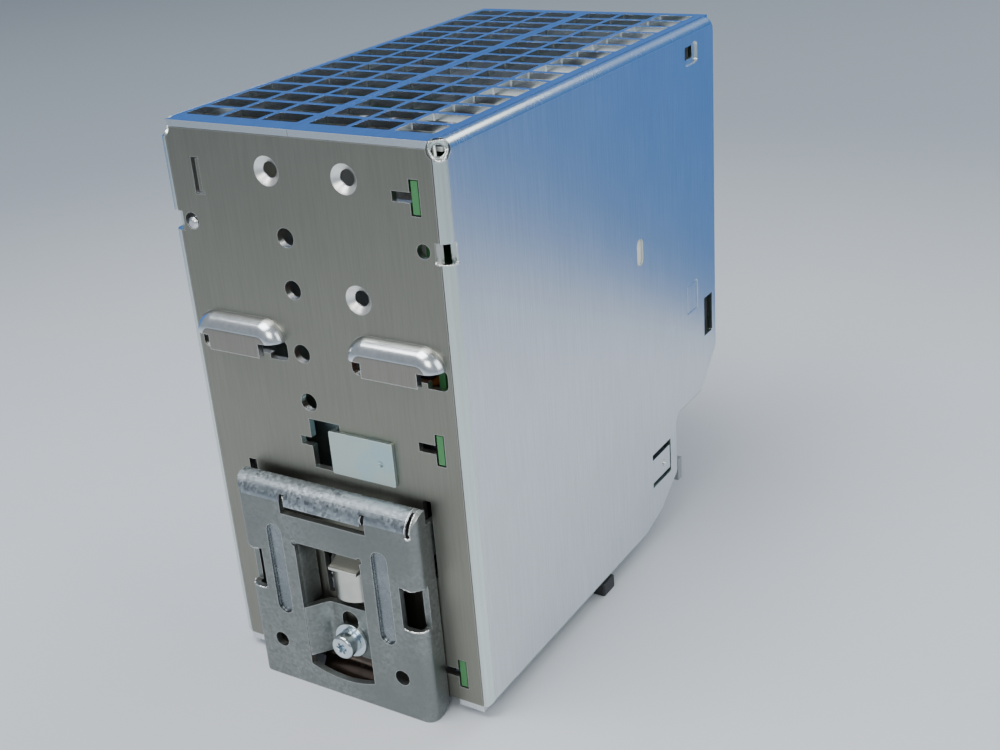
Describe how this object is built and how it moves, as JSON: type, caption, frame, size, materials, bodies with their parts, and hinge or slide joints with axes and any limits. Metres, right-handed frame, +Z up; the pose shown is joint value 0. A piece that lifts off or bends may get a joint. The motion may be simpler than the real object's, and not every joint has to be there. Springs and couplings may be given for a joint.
{
  "type": "din rail power supply",
  "caption": "Slim metal-cased switching power supply that clips onto a 35 mm rail, with vented top, sprung rail latch and screw terminals in a stepped front.",
  "frame": {"origin": "centre of the rear plate's outer face, on the mounting rail's centreline", "axes": "+Z up, +Y out of the rear towards the rail, the terminals face -Y, +X to the right when looking along +Y"},
  "size_m": [0.07, 0.1316, 0.1283],
  "materials": {
    "bare_sheet": "fine straight brushed mill finish",
    "rivet_metal": "satin",
    "latch_steel": "dull phosphated grey",
    "zinc_plate": "zinc plated, pale blue",
    "spring_steel": "smooth spring strip",
    "zinc_screw": "bright blue zinc",
    "foot_black": "moulded",
    "liner": "thin flat sheet",
    "panel_plastic": "fine spark-eroded moulded grey",
    "board_green": "solder mask",
    "fuse_ceramic": "glazed",
    "varistor_blue": "dipped",
    "film_yellow": "moulded",
    "package_black": "moulded epoxy",
    "can_sleeve": "shrink sleeve",
    "relay_case": "moulded",
    "ferrite": "sintered",
    "copper_winding": "enamelled copper",
    "bobbin_plastic": "moulded",
    "winding_tape": "polyester tape",
    "sink_aluminium": "extruded",
    "lamp_green": "clear light guide",
    "trimmer_blue": "moulded",
    "trimmer_white": "moulded",
    "switch_red": "moulded",
    "switch_white": "moulded",
    "terminal_plastic": "moulded",
    "contact_tin": "tin plated",
    "screw_nickel": "nickel plated",
    "clamp_nickel": "nickel plated"
  },
  "bodies": {
    "case": {"rear_plate": "bare_sheet", "left_side_shell": "bare_sheet", "right_side_shell": "bare_sheet", "left_top_grille": "bare_sheet", "right_top_grille": "bare_sheet", "bottom_grille": "bare_sheet", "case_rivets": "rivet_metal", "hook_plate": "zinc_plate", "latch_spring": "spring_steel", "latch_screw": "zinc_screw", "latch_washer": "zinc_screw", "bottom_feet": "foot_black", "insulation_sheet": "liner", "front_panel": "panel_plastic", "main_pcb": "board_green", "control_pcb": "board_green", "input_fuse": "fuse_ceramic", "varistor": "varistor_blue", "x_capacitors": "film_yellow", "bridge_rectifier": "package_black", "power_transistors": "package_black", "output_rectifiers": "package_black", "bulk_capacitors": "can_sleeve", "output_capacitors": "can_sleeve", "dc_ok_relay": "relay_case", "line_choke_core": "ferrite", "pfc_choke_core": "ferrite", "transformer_core": "ferrite", "line_choke_winding": "copper_winding", "pfc_choke_winding": "copper_winding", "output_choke": "copper_winding", "transformer_bobbin": "bobbin_plastic", "transformer_winding": "winding_tape", "primary_heat_sink": "sink_aluminium", "secondary_heat_sink": "sink_aluminium", "status_led": "lamp_green", "trimmer_body": "trimmer_blue", "dip_switch_body": "switch_red", "input_terminal_block": "terminal_plastic", "output_terminal_block": "terminal_plastic", "terminal_contacts": "contact_tin"},
    "latch": {"din_latch": "latch_steel"},
    "trimmer": {"trimmer_rotor": "trimmer_white"},
    "switch_1": {"dip_slider_1": "switch_white"},
    "switch_2": {"dip_slider_2": "switch_white"},
    "input_screw_1": {"input_screw_1": "screw_nickel"},
    "input_clamp_1": {"input_clamp_1": "clamp_nickel"},
    "input_screw_2": {"input_screw_2": "screw_nickel"},
    "input_clamp_2": {"input_clamp_2": "clamp_nickel"},
    "input_screw_3": {"input_screw_3": "screw_nickel"},
    "input_clamp_3": {"input_clamp_3": "clamp_nickel"},
    "output_screw_1": {"output_screw_1": "screw_nickel"},
    "output_clamp_1": {"output_clamp_1": "clamp_nickel"},
    "output_screw_2": {"output_screw_2": "screw_nickel"},
    "output_clamp_2": {"output_clamp_2": "clamp_nickel"},
    "output_screw_3": {"output_screw_3": "screw_nickel"},
    "output_clamp_3": {"output_clamp_3": "clamp_nickel"},
    "output_screw_4": {"output_screw_4": "screw_nickel"},
    "output_clamp_4": {"output_clamp_4": "clamp_nickel"}
  },
  "joints": [
    {"name": "latch_slide", "type": "slide", "parent": "case", "child": "latch", "axis": [0, 0, -1], "range_m": [0, 0.005], "stiffness_N_per_m": 2500, "springref_m": -0.003},
    {"name": "trimmer_turn", "type": "hinge", "parent": "case", "child": "trimmer", "pos_m": [-0.003, -0.124, 0.0415], "axis": [0, 1, 0], "range_deg": [-135, 135]},
    {"name": "switch_1_slide", "type": "slide", "parent": "case", "child": "switch_1", "axis": [0, 0, 1], "range_m": [0, 0.002]},
    {"name": "switch_2_slide", "type": "slide", "parent": "case", "child": "switch_2", "axis": [0, 0, 1], "range_m": [0, 0.002]},
    {"name": "input_screw_1_turn", "type": "hinge", "parent": "case", "child": "input_screw_1", "pos_m": [-0.02429, -0.096, -0.047], "axis": [0, 1, 0], "range_deg": [0, 2892]},
    {"name": "input_clamp_1_slide", "type": "slide", "parent": "case", "child": "input_clamp_1", "axis": [0, -1, 0], "range_m": [0, 0.004]},
    {"name": "input_screw_2_turn", "type": "hinge", "parent": "case", "child": "input_screw_2", "pos_m": [-0.01667, -0.096, -0.047], "axis": [0, 1, 0], "range_deg": [0, 2892]},
    {"name": "input_clamp_2_slide", "type": "slide", "parent": "case", "child": "input_clamp_2", "axis": [0, -1, 0], "range_m": [0, 0.004]},
    {"name": "input_screw_3_turn", "type": "hinge", "parent": "case", "child": "input_screw_3", "pos_m": [-0.00905, -0.096, -0.047], "axis": [0, 1, 0], "range_deg": [0, 2892]},
    {"name": "input_clamp_3_slide", "type": "slide", "parent": "case", "child": "input_clamp_3", "axis": [0, -1, 0], "range_m": [0, 0.004]},
    {"name": "output_screw_1_turn", "type": "hinge", "parent": "case", "child": "output_screw_1", "pos_m": [0.00141, -0.096, -0.047], "axis": [0, 1, 0], "range_deg": [0, 2892]},
    {"name": "output_clamp_1_slide", "type": "slide", "parent": "case", "child": "output_clamp_1", "axis": [0, -1, 0], "range_m": [0, 0.004]},
    {"name": "output_screw_2_turn", "type": "hinge", "parent": "case", "child": "output_screw_2", "pos_m": [0.00903, -0.096, -0.047], "axis": [0, 1, 0], "range_deg": [0, 2892]},
    {"name": "output_clamp_2_slide", "type": "slide", "parent": "case", "child": "output_clamp_2", "axis": [0, -1, 0], "range_m": [0, 0.004]},
    {"name": "output_screw_3_turn", "type": "hinge", "parent": "case", "child": "output_screw_3", "pos_m": [0.01665, -0.096, -0.047], "axis": [0, 1, 0], "range_deg": [0, 2892]},
    {"name": "output_clamp_3_slide", "type": "slide", "parent": "case", "child": "output_clamp_3", "axis": [0, -1, 0], "range_m": [0, 0.004]},
    {"name": "output_screw_4_turn", "type": "hinge", "parent": "case", "child": "output_screw_4", "pos_m": [0.02427, -0.096, -0.047], "axis": [0, 1, 0], "range_deg": [0, 2892]},
    {"name": "output_clamp_4_slide", "type": "slide", "parent": "case", "child": "output_clamp_4", "axis": [0, -1, 0], "range_m": [0, 0.004]}
  ],
  "couplings": [
    {"joint": "input_screw_1_turn", "follows": "input_clamp_1_slide", "rad_per_m": 12566},
    {"joint": "input_screw_2_turn", "follows": "input_clamp_2_slide", "rad_per_m": 12566},
    {"joint": "input_screw_3_turn", "follows": "input_clamp_3_slide", "rad_per_m": 12566},
    {"joint": "output_screw_1_turn", "follows": "output_clamp_1_slide", "rad_per_m": 12566},
    {"joint": "output_screw_2_turn", "follows": "output_clamp_2_slide", "rad_per_m": 12566},
    {"joint": "output_screw_3_turn", "follows": "output_clamp_3_slide", "rad_per_m": 12566},
    {"joint": "output_screw_4_turn", "follows": "output_clamp_4_slide", "rad_per_m": 12566}
  ]
}
